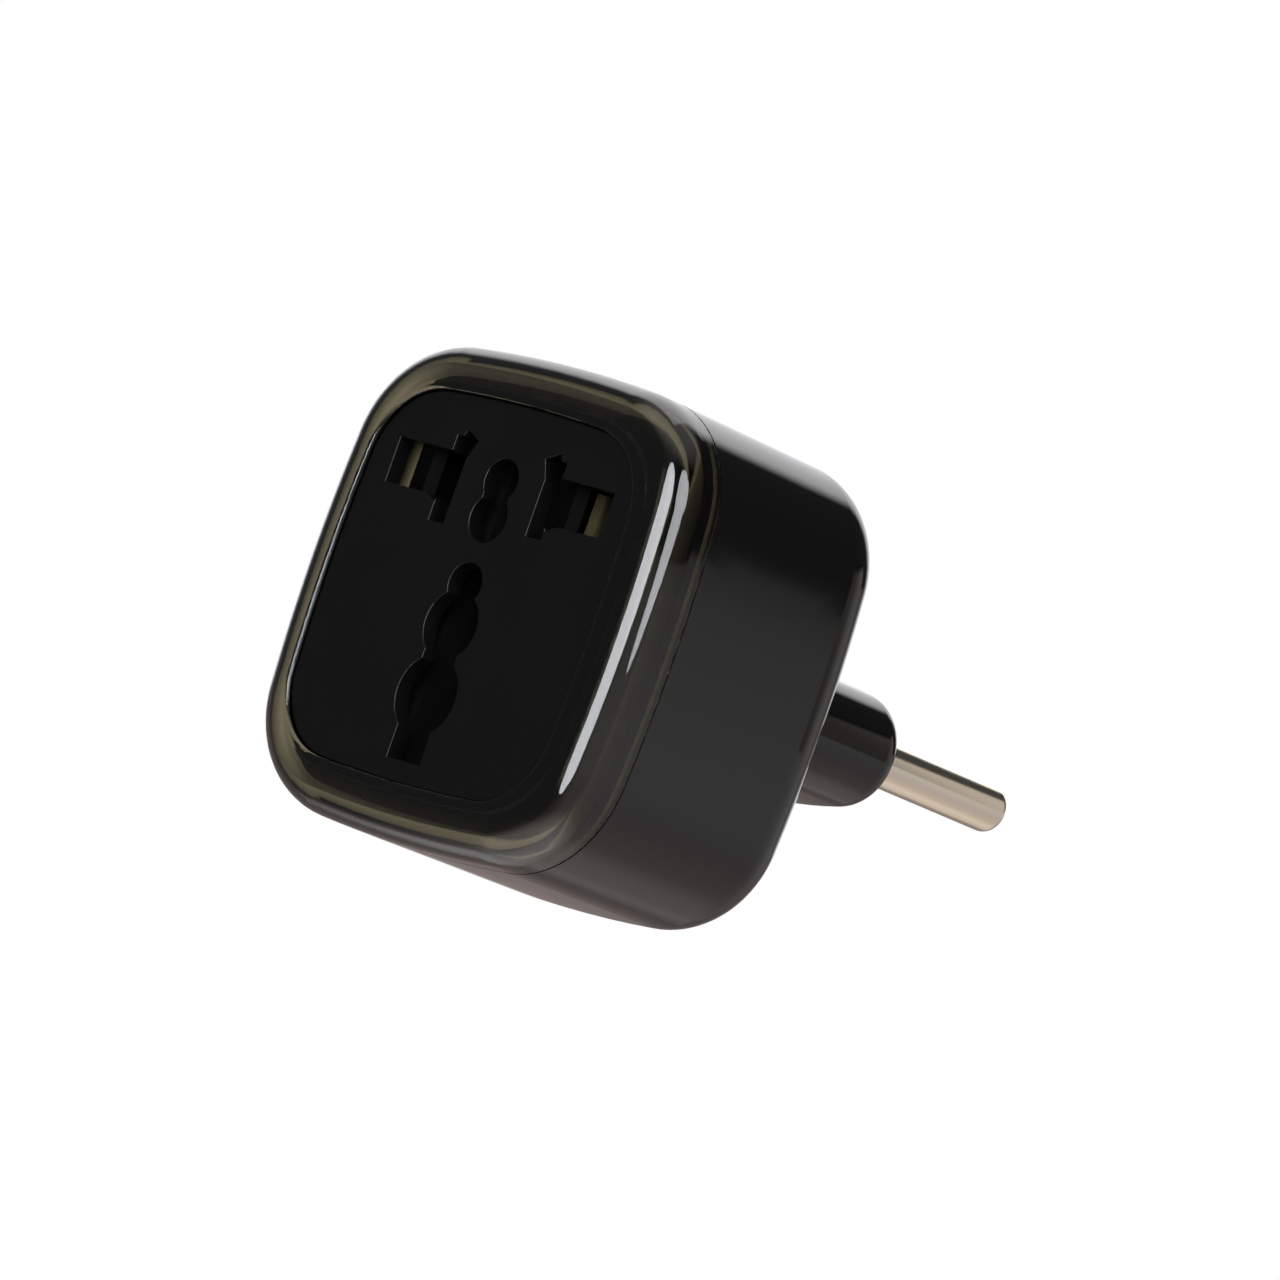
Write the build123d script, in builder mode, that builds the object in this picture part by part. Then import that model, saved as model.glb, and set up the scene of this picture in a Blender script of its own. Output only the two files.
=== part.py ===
from build123d import *
import os
from itertools import combinations
from math import atan2, degrees, dist, hypot, sqrt

# Universal socket adapter with two round plug pins on an oval stem.
# Sizes are in millimetres. The origin is the middle of the stem's end face, between the two pins.
# +Y is the way the pins point, +Z is up and X runs across, so the face plate looks along -Y.
# Depths are measured from the front of the face plate towards the pins.

os.makedirs("parts", exist_ok=True)

# Plug pins
pin_pitch = 19.0
pin_radius = 2.4
pin_length = 19.5
pin_tip_round = 1.1
pin_neck_length = 0.8
pin_neck_depth = 0.2
pin_fit = 0.05
collar_radius = 4.0
collar_thickness = 1.5
spigot_radius = 2.0
spigot_length = 2.4
spigot_fit = 0.1

# Body
body_width = 47.1
body_height = 48.7
body_depth = 32.4
body_bow = 155.0
body_corner = 11.7
wall = 2.2
draft = 0.7
seam_depth = 6.35
bezel_round = 4.75
bezel_crest = 0.6
bezel_inner_round = 0.4
seam_edge_round = 0.12
rear_round = 5.8
tongue_thickness = 1.0
tongue_length = 2.5
tongue_fit = 0.05

# Stem
stem_length = 17.9
stem_side = 5.2
stem_height = 13.4
stem_end_radius = 5.8
stem_end_round = 2.6
stem_root_round = 1.0
stem_core_width = 8.2
stem_core_height = 9.2
stem_core_round = 1.5
stem_end_wall = 3.0

# Face plate
rim_side = 5.05
rim_top = 5.35
plate_bow = 160.0
plate_corner = 8.0
plate_thickness = 1.9
plate_edge_round = 0.12
plate_fit = 0.05
flange_width = 0.9
flange_thickness = 0.9
slot_edge_round = 0.1

# Socket openings, as heights above or below the middle of the body
row_height = 10.9
flat_centre = 11.1
flat_pin_width = 6.35
flat_slot_width = 8.0
flat_slot_height = 4.6
blade_centre = 6.65
blade_slot_width = 2.1
blade_slot_above = 3.9
live_blade_below = 3.9
neutral_blade_below = 4.8
angled_centre = 7.2
angled_rise = 0.8
angled_slot_width = 2.0
angled_slot_length = 7.4
angled_tilt = 25.0
centre_upper_radius = 2.2
centre_upper_height = 11.5
centre_lower_radius = 2.45
centre_lower_height = 7.7
centre_waist_width = 3.4
earth_top_radius = 2.2
earth_top_height = 1.0
earth_middle_radius = 3.5
earth_middle_height = -3.1
earth_neck_width = 4.4
earth_lower_radius = 4.0
earth_lower_height = -10.2
earth_tail_width = 4.6
earth_tail_bottom = -16.9

# Safety shutter
shutter_gap = 0.4
shutter_thickness = 1.2
shutter_back_gap = 0.3
shutter_travel = 3.1
shutter_side_gap = 0.15
left_wing_width = 2.8
right_wing_width = 3.1
left_wing_rise = 3.1
right_wing_rise = 4.5
wing_ramp = 0.9
rail_gap = 0.2
tab_width = 1.8
tab_offset = 2.1
tab_depth = 2.9
spring_height = 0.8
spring_length = 8.0
spring_wire = 0.35
spring_mean_radius = 1.3
spring_turns = 7
spring_end_gap = 0.1
groove_clearance = 0.27

# Contact base
base_gap = 0.3
deck_thickness = 2.5
block_gap = 1.3
pocket_wall = 1.3
block_side_gap = 2.05
pocket_inner_reach = 6.9
pocket_height = 5.5
blade_pocket_reach = 1.75
blade_pocket_height = 9.6
pocket_floor = 2.0
pocket_gap = 0.3
earth_gap = 1.2
post_radius = 3.5
post_height = 12.5

# Contacts and straps
strip = 0.6
leaf_height = 5.2
web_height = 8.4
jaw_gap = 6.5
outer_lip_gap = 0.5
outer_lip_depth = 0.35
outer_knee = (4.3, 1.9)
inner_lip = (4.9, 2.9)
bulge_depth = 4.6
leaf_back_depth = 10.2
leaf_back_gap = 8.7
knee_bend = 1.0
jaw_bends = (3.0, 3.0, 1.0)
strap_thickness = 0.8
strap_width = 7.0
strap_overhang = 3.4
strap_bend = 1.0
earth_leaf_height = 8.0
earth_web_height = 6.0
earth_jaw = 4.3
earth_back_gap = 5.6
earth_lip_opening = 6.6
earth_lip_depth = 5.7
earth_bulge_depth = 8.2
earth_leaf_back_depth = 13.2
earth_contact_drop = 1.1
earth_jaw_bends = (1.2, 2.0, 1.0)

# Fasteners
rivet_radius = 1.2
rivet_head_radius = 2.0
rivet_head = 0.6
thread_fit = 0.02
hole_fit = 0.15
pin_screw_radius = 1.2
pin_screw_head_radius = 2.3
pin_screw_head = 1.7
pin_screw_length = 5.6
washer_thickness = 0.5
washer_split = 0.5
base_screw_radius = 1.0
base_screw_head_radius = 1.9
base_screw_head = 1.2
base_screw_depth = 1.0
pillar_radius = 1.8
upper_pillar_inset = (6.5, 1.8)
lower_pillar_inset = (4.0, 5.0)
case_screw_radius = 1.45
case_screw_head_radius = 2.8
case_screw_sink = 0.05
case_screw_cone = 90.0
case_screw_length = 8.0
recess_width = 0.6
recess_reach = 1.5
recess_depth = 0.7

# Pin retainer
retainer_thickness = 3.0
retainer_side = 5.5
retainer_height = 12.6
retainer_round = 3.0
retainer_ear_width = 8.4
retainer_ear_height = 33.0

# Stations along Y
body_rear = -stem_length
plate_face = body_rear - body_depth
crest_face = plate_face - bezel_crest
seam = plate_face + seam_depth
plate_rear = plate_face + plate_thickness
flange_face = plate_rear - flange_thickness
shutter_face = plate_rear + shutter_gap
shutter_rear = shutter_face + shutter_thickness
deck_face = shutter_rear + shutter_back_gap
deck_rear = deck_face + deck_thickness
rear_inside = body_rear - wall
collar_front = rear_inside - collar_thickness
retainer_face = rear_inside - retainer_thickness
spigot_face = collar_front - spigot_length
strap_face = spigot_face - strap_thickness
washer_face = strap_face - washer_thickness
screw_head_face = washer_face - pin_screw_head
block_rear = screw_head_face - block_gap
earth_rear = retainer_face - earth_gap - pocket_floor

# Places across the object
pin_offset = pin_pitch / 2
stem_width = pin_pitch + 2 * stem_side
retainer_width = pin_pitch + 2 * retainer_side
plate_width = body_width - 2 * rim_side
plate_height = body_height - 2 * rim_top
earth_top = earth_top_height + earth_top_radius
centre_bottom = centre_lower_height - centre_lower_radius
centre_pocket_side = centre_lower_radius + pocket_gap
earth_pocket_side = earth_lower_radius + pocket_gap
earth_pocket_top = earth_top + pocket_gap
earth_pocket_bottom = earth_tail_bottom - pocket_gap
pillars = [
    (side * (plate_width / 2 - in_x), up * (plate_height / 2 - in_z))
    for up, (in_x, in_z) in ((1, upper_pillar_inset), (-1, lower_pillar_inset))
    for side in (-1, 1)
]


def facing_front(y):
    """Plane across the object at y, seen from the front: extrusions run towards the face plate."""
    return Plane(origin=(0, y, 0), x_dir=(1, 0, 0), z_dir=(0, -1, 0))


def facing_rear(y):
    """Plane across the object at y, seen from behind: extrusions run towards the pins."""
    return Plane(origin=(0, y, 0), x_dir=(-1, 0, 0), z_dir=(0, 1, 0))


def soft_square(plane, width, height, bow, corner, inset=0.0):
    """Rounded square with bowed sides: four long arcs and four corner arcs, each tangent to the next.
    The inset moves the whole outline inwards."""
    long_arc = bow - inset
    corner_arc = corner - inset
    top_centre = height / 2 - bow
    side_centre = width / 2 - bow
    spacing = hypot(top_centre, side_centre)
    reach = sqrt((bow - corner) ** 2 - (spacing / 2) ** 2)
    corner_x = side_centre / 2 - top_centre / spacing * reach
    corner_y = top_centre / 2 - side_centre / spacing * reach
    top_angle = degrees(atan2(corner_y - top_centre, corner_x))
    side_angle = degrees(atan2(corner_y, corner_x - side_centre))
    turn = top_angle - side_angle
    with BuildSketch(plane) as shape:
        with BuildLine():
            CenterArc((side_centre, 0), long_arc, -side_angle, 2 * side_angle)
            CenterArc((corner_x, corner_y), corner_arc, side_angle, turn)
            CenterArc((0, top_centre), long_arc, top_angle, 180 - 2 * top_angle)
            CenterArc((-corner_x, corner_y), corner_arc, 180 - top_angle, turn)
            CenterArc((-side_centre, 0), long_arc, 180 - side_angle, 2 * side_angle)
            CenterArc((-corner_x, -corner_y), corner_arc, 180 + side_angle, turn)
            CenterArc((0, -top_centre), long_arc, 180 + top_angle, 180 - 2 * top_angle)
            CenterArc((corner_x, -corner_y), corner_arc, 360 - top_angle, turn)
        make_face()
    return shape.sketch


def body_outline(plane, inset=0.0):
    """Outline of the body at its widest, at the parting line."""
    return soft_square(plane, body_width, body_height, body_bow, body_corner, inset)


def plate_outline(plane, inset=0.0):
    """Outline of the face plate; a negative inset makes it larger."""
    return soft_square(plane, plate_width, plate_height, plate_bow, plate_corner, inset)


def stem_outline(plane):
    """Oval of the stem: two long arcs, above and below, tangent to a round end on each side."""
    end_centre = stem_width / 2 - stem_end_radius
    half_height = stem_height / 2
    end_rise = half_height - stem_end_radius
    long_arc = (end_centre**2 + half_height**2 - stem_end_radius**2) / (2 * end_rise)
    long_centre = half_height - long_arc
    top_angle = degrees(atan2(-long_centre, end_centre))
    with BuildSketch(plane) as shape:
        with BuildLine():
            CenterArc((0, long_centre), long_arc, top_angle, 180 - 2 * top_angle)
            CenterArc((-end_centre, 0), stem_end_radius, 180 - top_angle, 2 * top_angle)
            CenterArc((0, -long_centre), long_arc, 180 + top_angle, 180 - 2 * top_angle)
            CenterArc((end_centre, 0), stem_end_radius, -top_angle, 2 * top_angle)
        make_face()
    return shape.sketch


def round_bar(x, z, radius, front, rear):
    """Adds a round bar along Y between two stations to the part being built."""
    with BuildSketch(facing_front(rear)) as shape:
        with Locations((x, z)):
            Circle(radius)
    extrude(shape.sketch, amount=rear - front)


def round_bore(x, z, radius, front, rear):
    """Cuts a round bore along Y between two stations from the part being built."""
    with BuildSketch(facing_front(rear)) as shape:
        with Locations((x, z)):
            Circle(radius)
    extrude(shape.sketch, amount=rear - front, mode=Mode.SUBTRACT)


def block(x_low, x_high, z_low, z_high, front, rear, mode=Mode.ADD):
    """Adds, or cuts, a rectangular block between two corners and two stations."""
    with BuildSketch(facing_front(rear)) as shape:
        with Locations(((x_low + x_high) / 2, (z_low + z_high) / 2)):
            Rectangle(x_high - x_low, z_high - z_low)
    extrude(shape.sketch, amount=rear - front, mode=mode)


def cross_recess(x, z, face, towards_rear):
    """Cuts the cross of a driver from a screw head whose top is at y = face."""
    front = face if towards_rear else face - recess_depth
    rear = front + recess_depth
    for across, along in ((recess_reach, recess_width / 2), (recess_width / 2, recess_reach)):
        block(x - across, x + across, z - along, z + along, front, rear, Mode.SUBTRACT)


def finish(part, name):
    """Names a finished piece and writes it."""
    part.part.label = name
    export_step(part.part, f"parts/{name}.step")


# Openings of the face plate
with BuildSketch(facing_front(plate_rear)) as socket_openings:
    for side, blade_below in ((1, live_blade_below), (-1, neutral_blade_below)):
        with Locations((side * flat_centre, row_height)):
            Rectangle(flat_slot_width, flat_slot_height)
        with Locations((side * blade_centre, row_height + (blade_slot_above - blade_below) / 2)):
            Rectangle(blade_slot_width, blade_slot_above + blade_below)
        with Locations((side * angled_centre, row_height + angled_rise)):
            Rectangle(angled_slot_width, angled_slot_length, rotation=side * angled_tilt)
    with Locations((0, centre_upper_height)):
        Circle(centre_upper_radius)
    with Locations((0, centre_lower_height)):
        Circle(centre_lower_radius)
    with Locations((0, (centre_upper_height + centre_lower_height) / 2)):
        Rectangle(centre_waist_width, centre_upper_height - centre_lower_height)
    with Locations((0, earth_top_height)):
        Circle(earth_top_radius)
    with Locations((0, earth_middle_height)):
        Circle(earth_middle_radius)
    with Locations((0, earth_lower_height)):
        Circle(earth_lower_radius)
    with Locations((0, (earth_middle_height + earth_lower_height) / 2)):
        Rectangle(earth_neck_width, earth_middle_height - earth_lower_height)
    with Locations((0, (earth_lower_height + earth_tail_bottom) / 2)):
        Rectangle(earth_tail_width, earth_lower_height - earth_tail_bottom)

# Face plate: moulded plate with a flange behind the rim, the openings and four screw pillars
with BuildPart() as face_plate:
    extrude(plate_outline(facing_front(plate_rear)), amount=plate_thickness)
    fillet(face_plate.faces().sort_by(Axis.Y)[0].edges(), plate_edge_round)
    extrude(plate_outline(facing_front(plate_rear), -flange_width), amount=flange_thickness)
    for x, z in pillars:
        round_bar(x, z, pillar_radius, plate_rear - flange_thickness / 2, deck_face)
    extrude(socket_openings.sketch, amount=plate_thickness, mode=Mode.SUBTRACT)
    fillet(face_plate.faces().sort_by(Axis.Y)[0].inner_wires().edges(), slot_edge_round)
    for x, z in pillars:
        round_bore(x, z, base_screw_radius + thread_fit, plate_face + base_screw_depth, deck_face)
finish(face_plate, "face_plate")

# Front bezel: glossy rim with a rolled edge, a ledge for the plate's flange and a tongue for the housing
with BuildPart() as bezel_hollow:
    extrude(body_outline(facing_front(seam), wall), amount=seam - flange_face)
    fillet(bezel_hollow.faces().sort_by(Axis.Y)[0].edges(), bezel_round - wall)

with BuildPart() as front_bezel:
    extrude(body_outline(facing_front(seam)), amount=seam - crest_face)
    fillet(front_bezel.faces().sort_by(Axis.Y)[0].edges(), bezel_round)
    fillet(front_bezel.faces().sort_by(Axis.Y)[-1].edges(), seam_edge_round)
    extrude(plate_outline(facing_front(flange_face), -plate_fit), amount=bezel_round, mode=Mode.SUBTRACT)
    fillet(front_bezel.faces().sort_by(Axis.Y)[0].inner_wires()[0].edges(), bezel_inner_round)
    add(bezel_hollow.part, mode=Mode.SUBTRACT)
    extrude(
        plate_outline(facing_front(plate_rear), -flange_width - plate_fit),
        amount=flange_thickness,
        mode=Mode.SUBTRACT,
    )
    extrude(body_outline(facing_rear(seam), wall - tongue_thickness), amount=tongue_length)
    extrude(body_outline(facing_rear(seam), wall), amount=tongue_length, mode=Mode.SUBTRACT)
finish(front_bezel, "front_bezel")

# Rear housing: glossy shell with rounded rear edges, the hollow oval stem, pin bores and two screw holes
with BuildPart() as housing_hollow:
    extrude(body_outline(facing_rear(seam), wall), amount=rear_inside - seam, taper=draft)
    fillet(housing_hollow.faces().sort_by(Axis.Y)[-1].edges(), rear_round - wall)
    extrude(
        body_outline(facing_rear(seam), wall - tongue_thickness - tongue_fit),
        amount=tongue_length + tongue_fit,
    )

with BuildPart() as rear_housing:
    extrude(body_outline(facing_rear(seam)), amount=body_rear - seam, taper=draft)
    fillet(rear_housing.faces().sort_by(Axis.Y)[-1].edges(), rear_round)
    fillet(rear_housing.faces().sort_by(Axis.Y)[0].edges(), seam_edge_round)
    extrude(stem_outline(facing_rear(body_rear - wall / 2)), amount=stem_length + wall / 2)
    fillet(rear_housing.faces().sort_by(Axis.Y)[-1].edges(), stem_end_round)
    stem_root = (
        rear_housing.edges()
        .filter_by_position(Axis.Y, body_rear - 0.01, body_rear + 0.01)
        .filter_by_position(Axis.X, -stem_width / 2, stem_width / 2)
        .filter_by_position(Axis.Z, -stem_height / 2, stem_height / 2)
    )
    fillet(stem_root, stem_root_round)
    add(housing_hollow.part, mode=Mode.SUBTRACT)
    with BuildSketch(facing_front(-stem_end_wall)):
        RectangleRounded(stem_core_width, stem_core_height, stem_core_round)
    extrude(amount=-stem_end_wall - rear_inside, mode=Mode.SUBTRACT)
    for side in (-1, 1):
        round_bore(side * pin_offset, 0, pin_radius + pin_fit, rear_inside - wall, stem_end_round)
        with Locations(facing_rear(body_rear)):
            with Locations((0, side * post_height)):
                CounterSinkHole(
                    case_screw_radius + hole_fit,
                    case_screw_head_radius,
                    2 * wall,
                    case_screw_cone,
                )
finish(rear_housing, "rear_housing")

# Plug pins: turned brass, with a rounded tip, an undercut just inside the stem, a collar behind the
# housing wall and a tapped spigot
for side, name in ((1, "live_pin"), (-1, "neutral_pin")):
    with BuildPart() as plug_pin:
        round_bar(side * pin_offset, 0, pin_radius, 0, pin_length)
        fillet(plug_pin.faces().sort_by(Axis.Y)[-1].edges(), pin_tip_round)
        round_bar(side * pin_offset, 0, pin_radius - pin_neck_depth, -pin_neck_length, 0)
        round_bar(side * pin_offset, 0, pin_radius, rear_inside, -pin_neck_length)
        round_bar(side * pin_offset, 0, collar_radius, collar_front, rear_inside)
        round_bar(side * pin_offset, 0, spigot_radius, spigot_face, collar_front)
        tapped_depth = spigot_face + pin_screw_length
        round_bore(side * pin_offset, 0, pin_screw_radius + thread_fit, spigot_face, tapped_depth)
    finish(plug_pin, name)

# Pin retainer: moulded yoke that holds both collars against the rear wall
with BuildPart() as pin_retainer:
    with BuildSketch(facing_front(rear_inside)):
        RectangleRounded(retainer_width, retainer_height, retainer_round)
        RectangleRounded(retainer_ear_width, retainer_ear_height, retainer_round)
    extrude(amount=retainer_thickness)
    for side in (-1, 1):
        round_bore(side * pin_offset, 0, collar_radius + spigot_fit, collar_front, rear_inside)
        round_bore(side * pin_offset, 0, spigot_radius + spigot_fit, retainer_face, rear_inside)
        round_bore(0, side * post_height, case_screw_radius + hole_fit, retainer_face, rear_inside)
finish(pin_retainer, "pin_retainer")

# Contact base: deck under the shutter, one block with the two pole pockets and the centre pocket, an
# earth chamber below it, and two posts for the case screws
spring_depth = shutter_face + tab_depth / 2
groove_reach = spring_mean_radius + spring_wire / 2 + groove_clearance
groove_floor = spring_depth + groove_reach
tab_right = -earth_pocket_side - tab_offset
tab_left = tab_right - tab_width
spring_stop = tab_left - spring_length
flat_reach = body_width / 2 - wall - block_side_gap - pocket_wall
blade_reach = blade_centre + blade_pocket_reach

with BuildPart() as contact_base:
    extrude(body_outline(facing_front(deck_rear), wall + base_gap), amount=deck_thickness)
    for reach, height in ((flat_reach, pocket_height), (blade_reach, blade_pocket_height)):
        side_face = reach + pocket_wall
        top_face = row_height + height / 2 + pocket_wall
        block(-side_face, side_face, earth_pocket_top, top_face, deck_rear, block_rear)
    block(
        -earth_pocket_side - pocket_wall,
        earth_pocket_side + pocket_wall,
        earth_pocket_bottom - pocket_wall,
        earth_pocket_top + pocket_wall,
        deck_rear,
        earth_rear + pocket_floor,
    )
    for side, front in ((1, block_rear), (-1, earth_rear)):
        round_bar(0, side * post_height, post_radius, front, retainer_face)
    for side in (-1, 1):
        for reach, height, rear in (
            (flat_reach, pocket_height, block_rear),
            (blade_reach, blade_pocket_height, block_rear - pocket_floor),
        ):
            left, right = sorted((side * (flat_centre - pocket_inner_reach), side * reach))
            low, high = row_height - height / 2, row_height + height / 2
            block(left, right, low, high, deck_face, rear, Mode.SUBTRACT)
    block(
        -centre_pocket_side,
        centre_pocket_side,
        centre_bottom - rail_gap,
        centre_upper_height + centre_upper_radius + pocket_gap,
        deck_face,
        block_rear - pocket_floor,
        Mode.SUBTRACT,
    )
    block(
        -earth_pocket_side,
        earth_pocket_side,
        earth_pocket_bottom,
        earth_pocket_top,
        deck_face,
        earth_rear,
        Mode.SUBTRACT,
    )
    block(
        spring_stop,
        tab_right + base_gap,
        spring_height - groove_reach,
        spring_height + groove_reach,
        deck_face,
        groove_floor,
        Mode.SUBTRACT,
    )
    for x, z in pillars:
        round_bore(x, z, base_screw_radius + hole_fit, deck_face, deck_rear)
        round_bore(x, z, base_screw_head_radius + hole_fit, deck_rear, earth_rear)
    for side in (-1, 1):
        pilot_end = body_rear - case_screw_length - case_screw_sink - hole_fit
        round_bore(0, side * post_height, case_screw_radius + thread_fit, pilot_end, retainer_face)
finish(contact_base, "contact_base")

# Live and neutral contacts: one bent strip with two springy leaves on a taller web. The outer leaf has a
# wide flared lip just behind the deck's face; the inner leaf is shorter and leaves room for the shutter
rivet_x = flat_centre
rivet_hole = rivet_radius + thread_fit
outer_lip = (flat_reach - flat_centre - outer_lip_gap, outer_lip_depth)


def jaw_path(inner, outer):
    """Corner points of a U of strip, from the inner leaf's lip round the web to the outer leaf's lip.
    Each leaf lists its corners, as distances from the middle of the jaw and behind the deck's face."""
    ahead = [(-x, deck_face + depth) for x, depth in inner]
    behind = [(x, deck_face + depth) for x, depth in reversed(outer)]
    return ahead + behind


for side, name in ((1, "live_contact"), (-1, "neutral_contact")):
    with BuildPart() as contact:
        leaf = [
            ((jaw_gap + strip) / 2, bulge_depth),
            (leaf_back_gap / 2, leaf_back_depth),
            (leaf_back_gap / 2, block_rear + strip / 2 - deck_face),
        ]
        points = jaw_path([inner_lip] + leaf, [outer_lip, outer_knee] + leaf)
        with BuildSketch(Plane.XY.offset(row_height - leaf_height / 2)):
            with BuildLine():
                FilletPolyline(
                    [(side * (rivet_x + x), y) for x, y in points],
                    radius=jaw_bends + jaw_bends[::-1] + (knee_bend,),
                )
            trace(line_width=strip)
        extrude(amount=leaf_height)
        half_web = (leaf_back_gap + strip) / 2
        block(
            side * rivet_x - half_web,
            side * rivet_x + half_web,
            row_height - web_height / 2,
            row_height + web_height / 2,
            block_rear,
            block_rear + strip,
        )
        round_bore(side * rivet_x, row_height, rivet_hole, block_rear - strip, block_rear + strip)
    finish(contact, name)

# Earth contact: a jaw of the same kind for the flat earth pin, its web pressed in between the walls of
# its chamber
earth_contact_height = earth_lower_height - earth_contact_drop

with BuildPart() as earth_contact:
    leaf = [
        (earth_lip_opening / 2, earth_lip_depth),
        ((earth_jaw + strip) / 2, earth_bulge_depth),
        (earth_back_gap / 2, earth_leaf_back_depth),
        (earth_back_gap / 2, earth_rear - strip / 2 - deck_face),
    ]
    points = jaw_path(leaf, leaf)
    with BuildSketch(Plane.XY.offset(earth_contact_height - earth_leaf_height / 2)):
        with BuildLine():
            FilletPolyline(points, radius=earth_jaw_bends + earth_jaw_bends[::-1])
        trace(line_width=strip)
    extrude(amount=earth_leaf_height)
    block(
        -earth_pocket_side,
        earth_pocket_side,
        earth_contact_height - earth_web_height / 2,
        earth_contact_height + earth_web_height / 2,
        earth_rear - strip,
        earth_rear,
    )
finish(earth_contact, "earth_contact")

# Straps: bent strip from the riveted web down to the end of the pin's spigot
strap_upper = block_rear + strip + strap_thickness / 2
strap_lower = spigot_face - strap_thickness / 2
strap_centre = (rivet_x + pin_offset) / 2

for side, name in ((1, "live_strap"), (-1, "neutral_strap")):
    with BuildPart() as strap:
        with BuildSketch(Plane.YZ.offset(side * strap_centre - strap_width / 2)):
            with BuildLine():
                FilletPolyline(
                    (strap_upper, row_height + strap_overhang),
                    (strap_upper, row_height - web_height / 2),
                    (strap_lower, strap_overhang),
                    (strap_lower, -strap_overhang),
                    radius=strap_bend,
                )
            trace(line_width=strap_thickness)
        extrude(amount=strap_width)
        round_bore(side * rivet_x, row_height, rivet_hole, block_rear, strap_upper + strap_thickness)
        round_bore(side * pin_offset, 0, pin_screw_radius + hole_fit, strap_face - strip, spigot_face)
    finish(strap, name)

# Rivets, contact web to strap
with BuildPart() as contact_rivets:
    for side in (-1, 1):
        front = block_rear
        rear = block_rear + strip + strap_thickness
        round_bar(side * rivet_x, row_height, rivet_radius, front - rivet_head, rear + rivet_head)
        round_bar(side * rivet_x, row_height, rivet_head_radius, front - rivet_head, front)
        round_bar(side * rivet_x, row_height, rivet_head_radius, rear, rear + rivet_head)
finish(contact_rivets, "contact_rivets")

# Screws and split washers that hold the straps on the pins
with BuildPart() as pin_washers:
    for side in (-1, 1):
        round_bar(side * pin_offset, 0, pin_screw_head_radius, washer_face, strap_face)
        round_bore(side * pin_offset, 0, pin_screw_radius + hole_fit, washer_face, strap_face)
        x = side * pin_offset
        block(x, x + pin_screw_head_radius, 0, washer_split, washer_face, strap_face, Mode.SUBTRACT)
finish(pin_washers, "pin_washers")

with BuildPart() as pin_screws:
    for side in (-1, 1):
        x = side * pin_offset
        round_bar(x, 0, pin_screw_head_radius, screw_head_face, washer_face)
        round_bar(x, 0, pin_screw_radius, washer_face, washer_face + pin_screw_length)
        cross_recess(x, 0, screw_head_face, True)
finish(pin_screws, "pin_screws")

# Screws that hold the contact base on the pillars of the face plate
with BuildPart() as base_screws:
    for x, z in pillars:
        round_bar(x, z, base_screw_radius, plate_face + base_screw_depth + hole_fit, deck_rear)
        round_bar(x, z, base_screw_head_radius, deck_rear, deck_rear + base_screw_head)
        cross_recess(x, z, deck_rear + base_screw_head, False)
finish(base_screws, "base_screws")

# Countersunk case screws through the rear wall and the retainer into the posts of the base
with BuildPart() as case_screws:
    for side in (-1, 1):
        z = side * post_height
        head_face = body_rear - case_screw_sink
        sink = case_screw_head_radius - case_screw_radius
        round_bar(0, z, case_screw_radius, head_face - case_screw_length, head_face - sink)
        with BuildSketch(facing_front(head_face)):
            with Locations((0, z)):
                Circle(case_screw_head_radius - case_screw_sink)
        extrude(amount=sink, taper=case_screw_cone / 2)
        cross_recess(0, z, head_face, False)
finish(case_screws, "case_screws")

# Safety shutter: two wings on one rail; pins on their ramps push it aside, the spring brings it back
left_wing_right = -(flat_centre + flat_pin_width / 2 + shutter_side_gap) + shutter_travel
left_wing_left = left_wing_right - left_wing_width
right_wing_left = centre_lower_radius + shutter_side_gap + shutter_travel
right_wing_right = right_wing_left + right_wing_width
left_wing_top = row_height + left_wing_rise
right_wing_top = row_height + right_wing_rise
rail_bottom = earth_top + rail_gap
rail_top = centre_bottom - rail_gap

with BuildPart() as safety_shutter:
    block(left_wing_left, left_wing_right, rail_bottom, left_wing_top, shutter_face, shutter_rear)
    block(right_wing_left, right_wing_right, rail_bottom, right_wing_top, shutter_face, shutter_rear)
    ramp_edges = (
        safety_shutter.edges()
        .filter_by(Axis.Z)
        .filter_by_position(Axis.Y, shutter_face - 0.01, shutter_face + 0.01)
        .group_by(Axis.X)
    )
    chamfer(ramp_edges[1], wing_ramp)
    chamfer(ramp_edges[3], wing_ramp)
    block(left_wing_left, right_wing_right, rail_bottom, rail_top, shutter_face, shutter_rear)
    tab_bottom = spring_height - spring_mean_radius - spring_wire / 2
    tab_top = spring_height + spring_mean_radius + spring_wire / 2
    block(tab_left, tab_right, tab_bottom, rail_top, shutter_face, shutter_rear)
    block(tab_left, tab_right, tab_bottom, tab_top, shutter_face, shutter_face + tab_depth)
finish(safety_shutter, "safety_shutter")

# Shutter spring: compression spring in the groove of the base, between the groove's end wall and the
# shutter's tab
spring_height_wound = spring_length - 2 * spring_end_gap - spring_wire
spring_pitch = spring_height_wound / spring_turns
spring_start = spring_stop + spring_end_gap + spring_wire / 2

with BuildPart() as shutter_spring:
    with BuildLine() as coil:
        Helix(
            spring_pitch,
            spring_height_wound,
            spring_mean_radius,
            center=(spring_start, spring_depth, spring_height),
            direction=(1, 0, 0),
        )
    with BuildSketch(Plane(origin=coil.line @ 0, z_dir=coil.line % 0)):
        Circle(spring_wire / 2)
    sweep(is_frenet=True)
finish(shutter_spring, "shutter_spring")

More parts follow.
